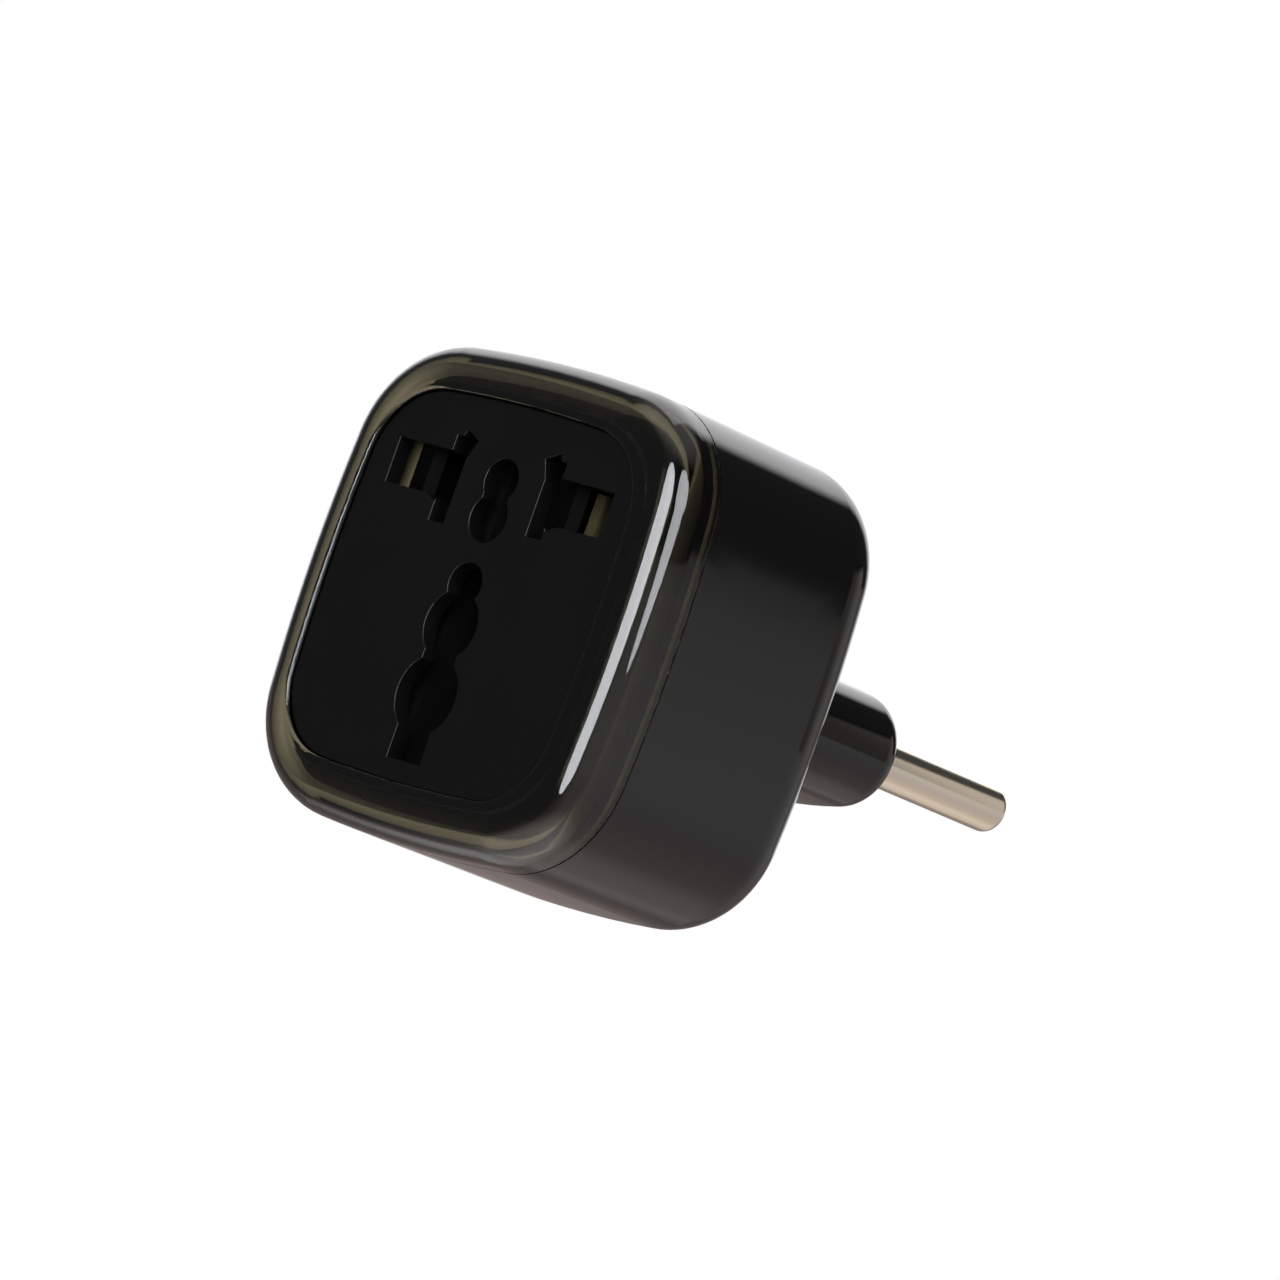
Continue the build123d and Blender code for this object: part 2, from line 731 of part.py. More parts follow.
# Least gap of the wound wire to itself, between points that are more than half a turn apart
points_per_turn = 24
coil_steps = points_per_turn * spring_turns
coil_points = [tuple(coil.line @ (i / coil_steps)) for i in range(coil_steps + 1)]
apart = [
    dist(coil_points[i], coil_points[j])
    for i, j in combinations(range(len(coil_points)), 2)
    if j - i > points_per_turn / 2
]
print(f"shutter_spring: least gap to itself {min(apart) - spring_wire:.2f} mm")
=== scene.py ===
from math import cos, pi, radians, sin

import bpy
import numpy as np
from mathutils import Matrix, Vector


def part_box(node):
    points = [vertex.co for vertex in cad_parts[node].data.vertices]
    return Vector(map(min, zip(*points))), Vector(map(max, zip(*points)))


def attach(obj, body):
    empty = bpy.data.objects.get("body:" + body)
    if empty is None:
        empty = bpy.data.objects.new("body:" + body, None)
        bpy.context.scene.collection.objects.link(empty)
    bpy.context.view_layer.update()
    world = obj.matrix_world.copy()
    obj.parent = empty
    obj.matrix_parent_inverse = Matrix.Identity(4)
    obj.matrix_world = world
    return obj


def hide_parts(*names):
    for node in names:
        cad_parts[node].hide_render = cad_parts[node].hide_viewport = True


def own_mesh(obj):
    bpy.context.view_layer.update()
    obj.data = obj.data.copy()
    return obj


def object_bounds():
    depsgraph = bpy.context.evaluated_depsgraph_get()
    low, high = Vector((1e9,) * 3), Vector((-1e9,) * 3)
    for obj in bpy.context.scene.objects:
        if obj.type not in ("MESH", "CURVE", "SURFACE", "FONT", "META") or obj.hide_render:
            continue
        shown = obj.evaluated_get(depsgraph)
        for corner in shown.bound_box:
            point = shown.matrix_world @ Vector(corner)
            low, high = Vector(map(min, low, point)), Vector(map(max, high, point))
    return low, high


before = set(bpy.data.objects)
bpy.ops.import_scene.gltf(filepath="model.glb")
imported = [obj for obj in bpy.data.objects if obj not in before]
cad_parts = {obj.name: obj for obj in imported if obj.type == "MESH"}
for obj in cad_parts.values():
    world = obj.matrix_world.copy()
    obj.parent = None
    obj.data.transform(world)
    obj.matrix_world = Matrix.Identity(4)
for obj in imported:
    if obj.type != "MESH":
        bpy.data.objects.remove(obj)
cad_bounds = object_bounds()

# Contact base and pin retainer
# Two dull black mouldings of glass-filled nylon. The base carries the contacts behind the face
# plate; the retainer clamps the pins against the rear wall.


def linear(hex_colour):
    """Linear colour of an sRGB hex value: each channel is undone from the sRGB curve."""
    channels = [int(hex_colour[i:i + 2], 16) / 255 for i in (1, 3, 5)]
    return (*(c / 12.92 if c <= 0.04045 else ((c + 0.055) / 1.055) ** 2.4 for c in channels), 1.0)


def node(tree, kind, inputs=None, **settings):
    """Adds one node. Settings are its attributes; each input is a value or another node's output."""
    made = tree.nodes.new("ShaderNode" + kind)
    for name, value in settings.items():
        setattr(made, name, value)
    for socket, value in (inputs or {}).items():
        if isinstance(value, bpy.types.NodeSocket):
            tree.links.new(value, made.inputs[socket])
        else:
            made.inputs[socket].default_value = value
    return made


def new_material(name):
    """An empty material; its tree and a socket with the piece's own coordinates in metres."""
    made = bpy.data.materials.new(name)
    made.use_nodes = True
    made.node_tree.nodes.clear()
    return made, made.node_tree, node(made.node_tree, "TexCoord").outputs["Object"]


def dress(material, *names):
    """Puts a material on CAD nodes, in the slots they already have."""
    for name in names:
        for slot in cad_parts[name].material_slots:
            slot.material = material


# Glass-filled nylon, moulded: flat black, with short glass fibres that show as faint pale flecks.
# Its gloss is low, so the slots stay dark.
nylon, tree, place = new_material("Glass-filled nylon, moulded")
fleck_size = 0.25e-3
fibres = node(tree, "TexNoise", {"Vector": place, "Scale": 1 / fleck_size, "Detail": 3.0})
fibre_colour = node(tree, "ValToRGB", {"Fac": fibres.outputs["Fac"]})
fibre_colour.color_ramp.elements[0].position = 0.45
fibre_colour.color_ramp.elements[0].color = linear("#080808")
fibre_colour.color_ramp.elements[1].position = 0.8
fibre_colour.color_ramp.elements[1].color = linear("#181818")
fibre_bump = node(tree, "Bump", {"Height": fibres.outputs["Fac"], "Strength": 0.5, "Distance": 0.02e-3})
nylon_surface = node(tree, "BsdfPrincipled", {
    "Base Color": fibre_colour.outputs["Color"],
    "Roughness": 0.55,
    "Specular IOR Level": 0.25,
    "IOR": 1.53,
    "Normal": fibre_bump.outputs["Normal"],
})
node(tree, "OutputMaterial", {"Surface": nylon_surface.outputs["BSDF"]})
dress(nylon, "contact_base", "pin_retainer")

# Contacts, straps and rivets
# Strip brass, blanked and bent: the pole contacts and the earth clip grip the plug, and the straps
# carry the current to the pins. Rolling leaves faint lines along the strip. Its colour is painted
# shade: it is drawn nearly black, far darker than clean brass, for the shade deep in the slots, and
# mottled between two dark tones as tarnish.
brass, tree, place = new_material("Strip brass, rolled")
rolling_line = 0.12e-3
rolling = node(tree, "Mapping", {"Vector": place, "Scale": (1.0, 0.08, 1.0)})
lines = node(tree, "TexNoise", {
    "Vector": rolling.outputs["Vector"], "Scale": 1 / rolling_line, "Detail": 2.0,
})
tarnish_and_shade_size = 2.5e-3
tarnish_and_shade = node(tree, "TexNoise", {"Vector": place, "Scale": 1 / tarnish_and_shade_size, "Detail": 4.0})
# Painted shade: both tones are far darker than clean brass, for the shade in the slots; the noise
# mottles them as tarnish
brass_painted_shade_colour = node(tree, "Mix", {
    "Factor": tarnish_and_shade.outputs["Fac"],
    6: linear("#46422f"),
    7: linear("#322f21"),
}, data_type="RGBA")
brass_roughness = node(tree, "MapRange", {
    "Value": lines.outputs["Fac"], "To Min": 0.36, "To Max": 0.54,
})
brass_bump = node(tree, "Bump", {
    "Height": lines.outputs["Fac"], "Strength": 0.4, "Distance": 0.01e-3,
})
brass_surface = node(tree, "BsdfPrincipled", {
    "Base Color": brass_painted_shade_colour.outputs[2],
    "Metallic": 1.0,
    "Roughness": brass_roughness.outputs["Result"],
    "Normal": brass_bump.outputs["Normal"],
})
node(tree, "OutputMaterial", {"Surface": brass_surface.outputs["BSDF"]})
dress(brass, "live_contact", "neutral_contact", "earth_contact")
dress(brass, "live_strap", "neutral_strap", "contact_rivets")

# Small screws and washers
# Zinc-plated steel screws hold the straps on the pins and the base on the face plate. The plating
# is a bluish, slightly cloudy grey.
zinc, tree, place = new_material("Zinc-plated steel")
cloud_size = 0.8e-3
cloud = node(tree, "TexNoise", {"Vector": place, "Scale": 1 / cloud_size, "Detail": 5.0})
zinc_colour = node(tree, "Mix", {
    "Factor": cloud.outputs["Fac"],
    6: linear("#a9adb2"),
    7: linear("#c6c8c6"),
}, data_type="RGBA")
zinc_roughness = node(tree, "MapRange", {"Value": cloud.outputs["Fac"], "To Min": 0.25, "To Max": 0.45})
zinc_surface = node(tree, "BsdfPrincipled", {
    "Base Color": zinc_colour.outputs[2],
    "Metallic": 1.0,
    "Roughness": zinc_roughness.outputs["Result"],
})
node(tree, "OutputMaterial", {"Surface": zinc_surface.outputs["BSDF"]})
dress(zinc, "pin_screws", "pin_washers", "base_screws")

# Shutter spring
# A compression spring of drawn steel wire, with closed end turns. It lies in a groove of the base
# and is squeezed between the groove's end wall and the shutter's tab.
wire_radius = 0.175e-3
coil_radius = 1.3e-3
coil_turns = 7
closed_turns = 0.8
turns_to_open = 0.5
closed_pitch = 0.4e-3
spring_low, spring_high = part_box("shutter_spring")
coil_centre = (spring_low + spring_high) / 2


def wound_wire(around, along):
    """Spring wire. A centre line winds about X while its rise per turn grows smoothly from the closed
    end turns to the open middle; a circle of the wire's radius is carried square to that line."""
    turn = np.linspace(0, coil_turns, along)
    from_end = np.minimum(turn, coil_turns - turn)
    opening = np.clip((from_end - closed_turns) / turns_to_open + 0.5, 0, 1)
    opening = opening * opening * (3 - 2 * opening)
    room = spring_high.x - spring_low.x - 2 * wire_radius
    steps = np.diff(turn)
    opened = (opening[1:] + opening[:-1]) / 2 * steps
    open_pitch = (room - closed_pitch * coil_turns) / opened.sum()
    rise = np.concatenate(([0.0], np.cumsum(closed_pitch * steps + open_pitch * opened)))
    angle = 2 * np.pi * turn
    outward = np.stack([np.zeros(along), np.cos(angle), np.sin(angle)], axis=1)
    centre = coil_radius * outward
    centre[:, 0] = spring_low.x + wire_radius + rise
    centre[:, 1] += coil_centre.y
    centre[:, 2] += coil_centre.z
    tangent = np.gradient(centre, axis=0)
    tangent /= np.linalg.norm(tangent, axis=1, keepdims=True)
    sideways = np.cross(tangent, outward)
    turn_round = 2 * np.pi * np.arange(around) / around
    across_wire = np.cos(turn_round)[None, :, None] * outward[:, None]
    up_wire = np.sin(turn_round)[None, :, None] * sideways[:, None]
    return centre[:, None] + wire_radius * (across_wire + up_wire)


def tube_mesh(name, rings):
    """A closed tube from rings of points: quads between the rings and one flat face at each end."""
    along, around = rings.shape[:2]
    index = np.arange(along * around).reshape(along, around)
    ahead = np.roll(index, -1, axis=1)
    quads = np.stack([index[:-1], ahead[:-1], ahead[1:], index[1:]], axis=-1).reshape(-1, 4)
    made = bpy.data.meshes.new(name)
    ends = [index[0, ::-1].tolist(), index[-1].tolist()]
    made.from_pydata(rings.reshape(-1, 3), [], quads.tolist() + ends)
    made.polygons.foreach_set("use_smooth", np.ones(len(made.polygons), dtype=bool))
    return made


def add_piece(name, mesh, material):
    """Links a mesh into the scene as a piece of its own, with its material."""
    mesh.materials.append(material)
    made = bpy.data.objects.new(name, mesh)
    bpy.context.scene.collection.objects.link(made)
    return made


# Drawn spring steel: bright grey. Its die lines are too fine to show, so they only vary the gloss, and
# are drawn coarser than the real ones.
spring_steel, tree, place = new_material("Spring steel, drawn")
die_line = 0.05e-3
die_marks = node(tree, "TexNoise", {"Vector": place, "Scale": 1 / die_line, "Detail": 2.0})
steel_roughness = node(tree, "MapRange", {
    "Value": die_marks.outputs["Fac"], "To Min": 0.2, "To Max": 0.38,
})
steel_surface = node(tree, "BsdfPrincipled", {
    "Base Color": linear("#b4b2ad"),
    "Metallic": 1.0,
    "Roughness": steel_roughness.outputs["Result"],
})
node(tree, "OutputMaterial", {"Surface": steel_surface.outputs["BSDF"]})

points_round_wire = 14
points_along_wire = 400
spring_mesh = tube_mesh("wound_spring", wound_wire(points_round_wire, points_along_wire))
spring = add_piece("wound_spring", spring_mesh, spring_steel)
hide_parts("shutter_spring")
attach(spring, "adapter")
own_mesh(spring)

# Safety shutter
# One black moulding with two wings. A plug's pins push its ramps aside; the spring brings it back.
# It slides, so its face is rubbed in faint streaks along X. It has next to no gloss in the slots.
shutter_plastic, tree, place = new_material("Acetal, moulded, dull")
streaks = node(tree, "Mapping", {"Vector": place, "Scale": (0.1, 1.0, 1.0)})
rub_width = 0.2e-3
rub = node(tree, "TexNoise", {
    "Vector": streaks.outputs["Vector"], "Scale": 1 / rub_width, "Detail": 2.0,
})
rub_roughness = node(tree, "MapRange", {"Value": rub.outputs["Fac"], "To Min": 0.35, "To Max": 0.6})
rub_bump = node(tree, "Bump", {"Height": rub.outputs["Fac"], "Strength": 0.3, "Distance": 0.008e-3})
shutter_surface = node(tree, "BsdfPrincipled", {
    "Base Color": linear("#0a0a0a"),
    "Roughness": rub_roughness.outputs["Result"],
    "Specular IOR Level": 0.015,
    "IOR": 1.48,
    "Normal": rub_bump.outputs["Normal"],
})
node(tree, "OutputMaterial", {"Surface": shutter_surface.outputs["BSDF"]})
dress(shutter_plastic, "safety_shutter")

# Plug pins
# The two round pins that go into the wall socket, clamped by their collars inside the housing. Turned
# brass, nickel plated: warm silver with the fine rings that the turning tool leaves round it.
nickel, tree, place = new_material("Nickel-plated brass, turned")
ring_spacing = 0.16e-3
turning = node(tree, "Mapping", {"Vector": place, "Scale": (0.0, 1.0, 0.0)})
rings = node(tree, "TexNoise", {
    "Vector": turning.outputs["Vector"], "Scale": 1 / ring_spacing, "Detail": 2.0,
})
scuffs = node(tree, "Mapping", {"Vector": place, "Scale": (1.0, 0.15, 1.0)})
scuff_width = 0.3e-3
scuff = node(tree, "TexNoise", {
    "Vector": scuffs.outputs["Vector"], "Scale": 1 / scuff_width, "Detail": 3.0,
})
nickel_roughness = node(tree, "MapRange", {
    "Value": scuff.outputs["Fac"], "To Min": 0.12, "To Max": 0.24,
})
ring_bump = node(tree, "Bump", {
    "Height": rings.outputs["Fac"], "Strength": 0.35, "Distance": 0.006e-3,
})
nickel_surface = node(tree, "BsdfPrincipled", {
    "Base Color": linear("#ebe2d1"),
    "Metallic": 1.0,
    "Roughness": nickel_roughness.outputs["Result"],
    "Normal": ring_bump.outputs["Normal"],
})
node(tree, "OutputMaterial", {"Surface": nickel_surface.outputs["BSDF"]})
dress(nickel, "live_pin", "neutral_pin")

# Face plate
# The front wall with all the openings, let into the bezel and screwed to the contact base. Black ABS
# from a spark-eroded tool: a satin face with a very fine even grain.
satin, tree, place = new_material("ABS, moulded, satin")
grain_size = 0.14e-3
grain = node(tree, "TexNoise", {"Vector": place, "Scale": 1 / grain_size, "Detail": 2.0})
wear_size = 6e-3
wear = node(tree, "TexNoise", {"Vector": place, "Scale": 1 / wear_size, "Detail": 3.0})
satin_roughness = node(tree, "MapRange", {"Value": wear.outputs["Fac"], "To Min": 0.34, "To Max": 0.46})
grain_bump = node(tree, "Bump", {
    "Height": grain.outputs["Fac"], "Strength": 0.25, "Distance": 0.006e-3,
})
satin_surface = node(tree, "BsdfPrincipled", {
    "Base Color": linear("#070707"),
    "Roughness": satin_roughness.outputs["Result"],
    "Specular IOR Level": 0.3,
    "IOR": 1.52,
    "Normal": grain_bump.outputs["Normal"],
})
node(tree, "OutputMaterial", {"Surface": satin_surface.outputs["BSDF"]})
dress(satin, "face_plate")

# Rear housing
# One polished black moulding of ABS with the oval stem. Its gloss is high, with the slight waviness of
# moulded plastic and a faint haze from handling. Its front edge is dull, and the weld on it is pale.
gloss, tree, place = new_material("ABS, moulded, polished")
wave_size = 7e-3
wave = node(tree, "TexNoise", {"Vector": place, "Scale": 1 / wave_size, "Detail": 1.0})
haze_size = 3e-3
haze = node(tree, "TexNoise", {"Vector": place, "Scale": 1 / haze_size, "Detail": 6.0})
gloss_roughness = node(tree, "MapRange", {
    "Value": haze.outputs["Fac"], "To Min": 0.035, "To Max": 0.07,
})
wave_bump = node(tree, "Bump", {"Height": wave.outputs["Fac"], "Strength": 0.2, "Distance": 0.02e-3})
gloss_surface = node(tree, "BsdfPrincipled", {
    "Base Color": linear("#0a0a0a"),
    "Roughness": gloss_roughness.outputs["Result"],
    "IOR": 1.52,
    "Normal": wave_bump.outputs["Normal"],
})
along = node(tree, "SeparateXYZ", {"Vector": place}).outputs["Y"]
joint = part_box("rear_housing")[0].y
dull_depth = 0.11e-3
weld_depth = 0.01e-3
at_edge = node(tree, "Math", {0: along, 1: joint + dull_depth}, operation="LESS_THAN").outputs[0]
at_joint = node(tree, "Math", {0: along, 1: joint + weld_depth}, operation="LESS_THAN").outputs[0]
dull_edge = node(tree, "BsdfDiffuse", {"Color": linear("#080808")})
weld = node(tree, "BsdfDiffuse", {"Color": linear("#ebe4c2")})
edged = node(tree, "MixShader", {
    0: at_edge, 1: gloss_surface.outputs["BSDF"], 2: dull_edge.outputs[0],
})
welded = node(tree, "MixShader", {0: at_joint, 1: edged.outputs[0], 2: weld.outputs[0]})
node(tree, "OutputMaterial", {"Surface": welded.outputs[0]})
dress(gloss, "rear_housing")

# Front bezel
# A thick rim of smoked polycarbonate, polished inside and out: seen square on it is nearly black, and
# light that runs through it comes out olive. Its joint face is frosted for the weld.
smoked, tree, place = new_material("Smoked polycarbonate, polished")
frost_size = 0.2e-3
frost = node(tree, "TexNoise", {"Vector": place, "Scale": 1 / frost_size, "Detail": 3.0})
frost_colour = node(tree, "Mix", {
    "Factor": frost.outputs["Fac"],
    6: linear("#ded7b2"),
    7: linear("#f4eecd"),
}, data_type="RGBA")
rightward, along = node(tree, "SeparateXYZ", {"Vector": place}).outputs[:2]
frost_depth = 0.02e-3
at_joint = node(tree, "Math", {0: along, 1: joint - frost_depth}, operation="GREATER_THAN").outputs[0]

# The wall that holds the plate faces the axis: the dot product of its outward normal and the way from
# the axis, in metres, is well below zero. On it a black matt colour is painted as shade, for the dark
# plate seen in it: most on the right, above and below, and none on the left, where the rim looks clear.
facing = node(tree, "NewGeometry").outputs
way_out = node(tree, "Math", {
    0: facing["Backfacing"], 1: -2.0, 2: 1.0,
}, operation="MULTIPLY_ADD").outputs[0]
outward = node(tree, "VectorMath", {
    0: facing["Normal"], "Scale": way_out,
}, operation="SCALE").outputs["Vector"]
from_axis = node(tree, "VectorMath", {
    0: place, 1: (1.0, 0.0, 1.0),
}, operation="MULTIPLY").outputs["Vector"]
leaning = node(tree, "VectorMath", {0: outward, 1: from_axis}, operation="DOT_PRODUCT").outputs["Value"]
inward_lean = -4e-3
faces_axis = node(tree, "Math", {0: leaning, 1: inward_lean}, operation="LESS_THAN").outputs[0]
plate_thickness = 1.9e-3
half_plate = plate_thickness / 2
plate_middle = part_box("face_plate")[0].y + half_plate
beside_plate = node(tree, "Math", {
    0: along, 1: plate_middle, 2: half_plate,
}, operation="COMPARE").outputs[0]
clear_left = -17e-3
shaded_from = -12e-3
plate_shade = 0.7
shade_strength_by_side = node(tree, "MapRange", {
    "Value": rightward, "From Min": clear_left, "From Max": shaded_from, "To Max": plate_shade,
}).outputs["Result"]
plate_wall = node(tree, "Math", {0: faces_axis, 1: beside_plate}, operation="MULTIPLY").outputs[0]
painted_plate_shade = node(tree, "Math", {0: plate_wall, 1: shade_strength_by_side}, operation="MULTIPLY").outputs[0]
smoked_surface = node(tree, "BsdfPrincipled", {
    "Base Color": linear("#ffffff"),
    "Roughness": 0.03,
    "IOR": 1.585,
    "Transmission Weight": 1.0,
})
# Painted shade: a black matt surface stands in for the dark plate seen in the rim's inner wall
painted_shade_surface = node(tree, "BsdfDiffuse", {"Color": linear("#0b0b0b")})
frosted_surface = node(tree, "BsdfDiffuse", {"Color": frost_colour.outputs[2]})
with_painted_shade = node(tree, "MixShader", {
    0: painted_plate_shade, 1: smoked_surface.outputs["BSDF"], 2: painted_shade_surface.outputs[0],
})
finished = node(tree, "MixShader", {0: at_joint, 1: with_painted_shade.outputs[0], 2: frosted_surface.outputs[0]})
smoke = node(tree, "VolumeAbsorption", {"Color": linear("#938b6c"), "Density": 680.0})
node(tree, "OutputMaterial", {"Surface": finished.outputs[0], "Volume": smoke.outputs["Volume"]})
dress(smoked, "front_bezel")

# Case screws
# Two countersunk steel screws hold the case together from behind, flush with the rear wall. Black
# oxide gives them a dark satin face with a cloudy bloom.
black_oxide, tree, place = new_material("Steel, black oxide")
bloom_size = 0.6e-3
bloom = node(tree, "TexNoise", {"Vector": place, "Scale": 1 / bloom_size, "Detail": 4.0})
bloom_roughness = node(tree, "MapRange", {"Value": bloom.outputs["Fac"], "To Min": 0.3, "To Max": 0.5})
oxide_surface = node(tree, "BsdfPrincipled", {
    "Base Color": linear("#2e2e30"),
    "Metallic": 1.0,
    "Roughness": bloom_roughness.outputs["Result"],
})
node(tree, "OutputMaterial", {"Surface": oxide_surface.outputs["BSDF"]})
dress(black_oxide, "case_screws")

# Studio: camera
# A long lens, a little below the object and 45 degrees to the right of its face, rolled as the
# photograph is. It is moved a few millimetres right and up to frame the object as there.
photo_azimuth = radians(44.93)
photo_elevation = radians(-3.89)
photo_roll = radians(19.33)
photo_distance = 1.2
photo_target = Vector((0.0, -29.4e-3, 0.49e-3))
pixels_per_metre = 10344.5
photo_pixels = 1280
shift_right = 3.32e-3
shift_up = 0.99e-3
towards_camera = Vector((
    sin(photo_azimuth) * cos(photo_elevation),
    -cos(photo_azimuth) * cos(photo_elevation),
    sin(photo_elevation),
))
level_right = Vector((cos(photo_azimuth), sin(photo_azimuth), 0.0))
level_up = towards_camera.cross(level_right)
picture_right = cos(photo_roll) * level_right + sin(photo_roll) * level_up
picture_up = cos(photo_roll) * level_up - sin(photo_roll) * level_right
aside = shift_right * picture_right + shift_up * picture_up
camera_place = photo_target + photo_distance * towards_camera + aside
sensor_width = 36.0
camera_data = bpy.data.cameras.new("camera")
camera_data.sensor_width = sensor_width
camera_data.lens = sensor_width * photo_distance * pixels_per_metre / photo_pixels
camera = bpy.data.objects.new("camera", camera_data)
bpy.context.scene.collection.objects.link(camera)
turned = Matrix((picture_right, picture_up, towards_camera)).transposed()
camera.matrix_world = Matrix.Translation(camera_place) @ turned.to_4x4()
bpy.context.scene.camera = camera

# Studio: floor
# A pale table under the body. The camera is lower than the table, so its underside is clear to the
# camera alone.
half_floor = 3.0
floor_height = cad_bounds[0][2]
floor_corners = [
    (x * half_floor, y * half_floor, floor_height) for x, y in ((-1, -1), (1, -1), (1, 1), (-1, 1))
]
floor_mesh = bpy.data.meshes.new("floor")
floor_mesh.from_pydata(floor_corners, [], [(0, 1, 2, 3)])
floor_paint, tree, _ = new_material("Floor, pale matt paint")
path = node(tree, "LightPath")
seen_below = node(tree, "Math", {
    0: node(tree, "NewGeometry").outputs["Backfacing"],
    1: path.outputs["Is Camera Ray"],
}, operation="MULTIPLY")
matt = node(tree, "BsdfDiffuse", {"Color": linear("#f4f3f1")})
clear = node(tree, "BsdfTransparent")
one_sided = node(tree, "MixShader", {
    0: seen_below.outputs[0],
    1: matt.outputs[0],
    2: clear.outputs[0],
})
node(tree, "OutputMaterial", {"Surface": one_sided.outputs[0]})
floor = add_piece("floor", floor_mesh, floor_paint)
floor.visible_glossy = False
floor.visible_transmission = False

# Studio: surroundings
# White behind the object and a darker room at the camera's side, which its gloss shows. The camera
# sees plain white. A direction is given by its share to the right, away from the camera and upwards.
world = bpy.data.worlds.new("studio")
bpy.context.scene.world = world
world.use_nodes = True
tree = world.node_tree
tree.nodes.clear()
direction = node(tree, "Mapping", {
    "Vector": node(tree, "TexCoord").outputs["Generated"],
    "Rotation": (0.0, 0.0, -photo_azimuth),
})
across, depth, height = node(tree, "SeparateXYZ", {"Vector": direction.outputs["Vector"]}).outputs


def share(value, low, high):
    """0 below low, 1 above high and a smooth rise between; a fall where low is above high."""
    return node(tree, "MapRange", {
        "Value": value, "From Min": low, "From Max": high,
    }, interpolation_type="SMOOTHSTEP").outputs["Result"]


def blend_colours(factor, first, second):
    """The first colour where the factor is 0, the second where it is 1, and a mix between."""
    return node(tree, "Mix", {"Factor": factor, 6: first, 7: second}, data_type="RGBA").outputs[2]


def grey(level, tint="#ffffff"):
    """A tinted grey: the tint times a radiance, where 1 is white."""
    return (*(level * channel for channel in linear(tint)[:3]), 1.0)


def times(first, second):
    """Product of two shares."""
    return node(tree, "Math", {0: first, 1: second}, operation="MULTIPLY").outputs[0]


# The room at the camera's side is dark on the right and less so on the left. It has a pale ground and
# ceiling.
room = blend_colours(share(across, 0.3, -0.3), grey(0.045), grey(0.13))
room = blend_colours(share(height, -0.65, -0.9), room, grey(1.1, "#fff2ea"))
room = blend_colours(share(height, 0.75, 0.95), room, grey(0.6, "#fffdf8"))

# White paper stands behind the object, about as wide as it is far away, and is brightest overhead
sideways = node(tree, "Math", {0: across}, operation="ABSOLUTE").outputs[0]
slant = node(tree, "Math", {0: sideways, 1: depth}, operation="DIVIDE").outputs[0]
on_paper = times(share(slant, 0.78, 0.4), share(depth, 0.0, 0.05))
paper = blend_colours(share(height, 0.2, 0.9), grey(1.25, "#fbfbff"), grey(2.0))
room = blend_colours(on_paper, room, paper)

# Low down behind the object its shade lies on the table, which is light again straight below
under_object = times(share(height, 0.06, -0.02), share(depth, 0.5, 0.8))
shade = blend_colours(share(height, -0.5, -0.8), grey(0.3, "#f6e2dc"), grey(1.5, "#fffaf6"))
room = blend_colours(under_object, room, shade)

# The table to the right ends in a crisp far edge a little above eye level. Each stop is its place from
# straight down to that edge, half its level, because a ramp holds no more than 1, and its tint.
table_edge = 0.168
table_stops = (
    (0.08, 0.8, "#fffaf2"),
    (0.30, 0.29, "#fff0e6"),
    (0.55, 0.25, "#fff4f6"),
    (0.83, 0.285, "#fffcfa"),
    (0.96, 0.22, "#fffcfa"),
    (1.00, 0.14, "#fffcfa"),
)
up_table = node(tree, "MapRange", {"Value": height, "From Min": -1.0, "From Max": table_edge})
table = node(tree, "ValToRGB", {"Fac": up_table.outputs["Result"]})
while len(table.color_ramp.elements) < len(table_stops):
    table.color_ramp.elements.new(0.5)
for stop, (position, half_level, tint) in zip(table.color_ramp.elements, table_stops):
    stop.position = position
    stop.color = grey(half_level, tint)
table_colour = node(tree, "VectorMath", {
    0: table.outputs["Color"], "Scale": 2.0,
}, operation="SCALE").outputs["Vector"]
to_right = times(share(across, -0.25, 0.25), share(depth, 0.9, 0.6))
on_table = times(share(height, table_edge + 4e-3, table_edge - 8e-3), to_right)
room = blend_colours(on_table, room, table_colour)

# Each kind of ray sees its own: matt surfaces an even grey, gloss the room, the smoked rim a pale
# surround behind the object, and the camera plain white
pale_behind = blend_colours(share(depth, 0.0, 0.3), room, grey(1.1, "#fff9ea"))
path = node(tree, "LightPath").outputs
seen = blend_colours(path["Is Glossy Ray"], grey(0.45), room)
seen = blend_colours(path["Is Transmission Ray"], seen, pale_behind)
seen = blend_colours(path["Is Camera Ray"], seen, grey(1.0))
background = node(tree, "Background", {"Color": seen, "Strength": 1.0})
node(tree, "OutputWorld", {"Surface": background.outputs["Background"]})

# Studio: reflector
# A small pale card stands upright to the right of the pins. It shows in gloss alone, as the light
# flank of the pin and the stem, and fades upwards and towards its near end.
card_near = (78.9e-3, 52.0e-3)
card_far = (33.9e-3, 79.5e-3)
card_height = 55e-3
card_mesh = bpy.data.meshes.new("reflector")
card_mesh.from_pydata([
    (*card_near, 0.0), (*card_far, 0.0), (*card_far, card_height), (*card_near, card_height),
], [], [(0, 1, 2, 3)])
card_paper, tree, place = new_material("Reflector card, pale paper")
card_across, _, card_up = node(tree, "SeparateXYZ", {"Vector": place}).outputs
fade_across = node(tree, "MapRange", {
    "Value": card_across, "From Min": 54e-3, "From Max": 72e-3, "To Min": 0.55, "To Max": 0.28,
}).outputs["Result"]
fade_up = node(tree, "MapRange", {
    "Value": card_up, "From Min": 43e-3, "From Max": card_height, "To Min": 1.0, "To Max": 0.0,
}, interpolation_type="SMOOTHSTEP").outputs["Result"]
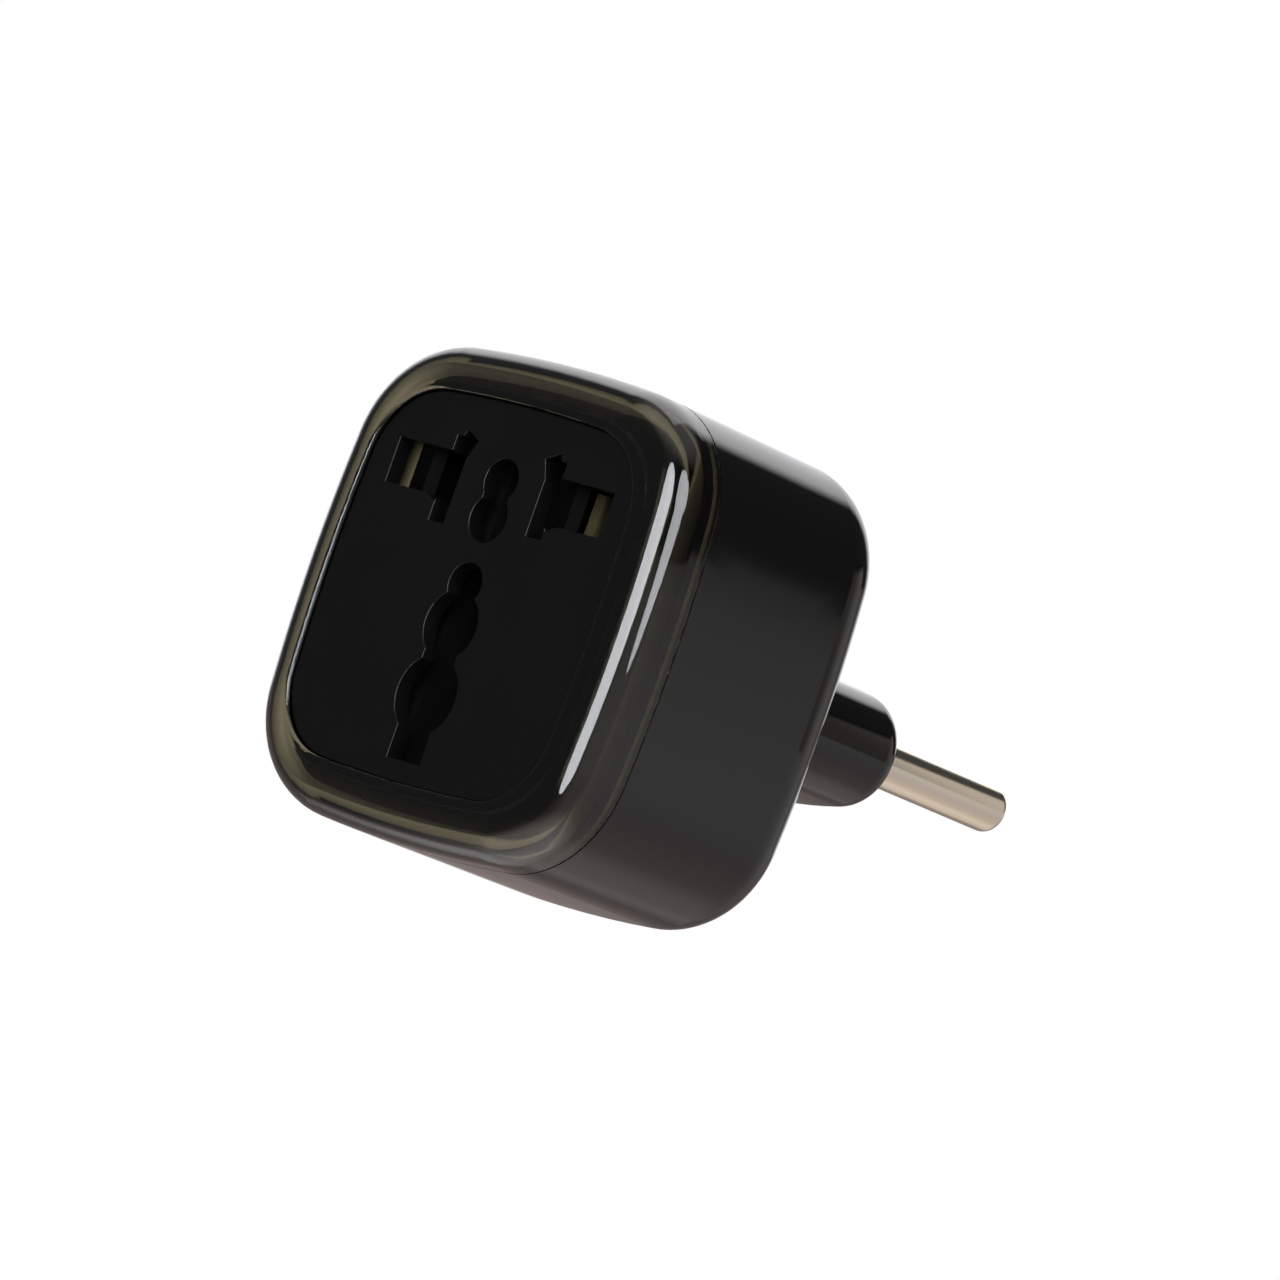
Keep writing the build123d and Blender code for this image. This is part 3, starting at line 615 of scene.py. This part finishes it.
card_level = node(tree, "Math", {0: fade_across, 1: fade_up}, operation="MULTIPLY").outputs[0]
card_glow = node(tree, "Emission", {"Color": linear("#fff6ee"), "Strength": card_level})
node(tree, "OutputMaterial", {"Surface": card_glow.outputs["Emission"]})
card = add_piece("reflector", card_mesh, card_paper)
card.visible_camera = False
card.visible_diffuse = False
card.visible_transmission = False
card.visible_shadow = False

# Studio: lamps
# Two soft boxes beside the camera and one above and behind the object. Those in front are pairs: one
# lights the surfaces at a plain level, and a brighter one, 10 mm nearer, shows in gloss alone.
gloss_lead = 0.01


def soft_box(name, azimuth, elevation, distance, width, height, radiance, in_gloss):
    """An oval lamp that faces the object from a bearing in degrees, measured from the camera's to the
    right. Its power is its radiance times its area times pi. It lights surfaces or shows in gloss."""
    bearing = photo_azimuth + radians(azimuth)
    rise = radians(elevation)
    away = Vector((sin(bearing) * cos(rise), -cos(bearing) * cos(rise), sin(rise)))
    lamp_data = bpy.data.lights.new(name, "AREA")
    lamp_data.shape = "ELLIPSE"
    lamp_data.size = width
    lamp_data.size_y = height
    lamp_data.energy = radiance * pi / 4 * width * height * pi
    lamp_data.color = linear("#f9fbff")[:3]
    lamp = bpy.data.objects.new(name, lamp_data)
    lamp.location = Vector((0.0, photo_target.y, 0.0)) + distance * away
    lamp.rotation_euler = away.to_track_quat("Z", "Y").to_euler()
    lamp.visible_diffuse = not in_gloss
    lamp.visible_glossy = in_gloss
    lamp.visible_transmission = in_gloss
    bpy.context.scene.collection.objects.link(lamp)


# Each lamp: degrees right of the camera, degrees up, distance, width, height, radiance, gloss or not
soft_box("left_light", -8, 12, 1.0, 0.42, 1.4, 4.0, False)
soft_box("left_gloss", -8, 12, 1.0 - gloss_lead, 0.40, 1.4, 10.0, True)
soft_box("right_light", 28, 25, 1.0, 0.44, 0.85, 4.0, False)
soft_box("right_gloss", 28, 25, 1.0 - gloss_lead, 0.44, 0.85, 7.0, True)
soft_box("top_light", 180, 57, 1.0, 0.7, 0.7, 2.0, False)

bpy.context.scene.view_settings.view_transform = "Standard"
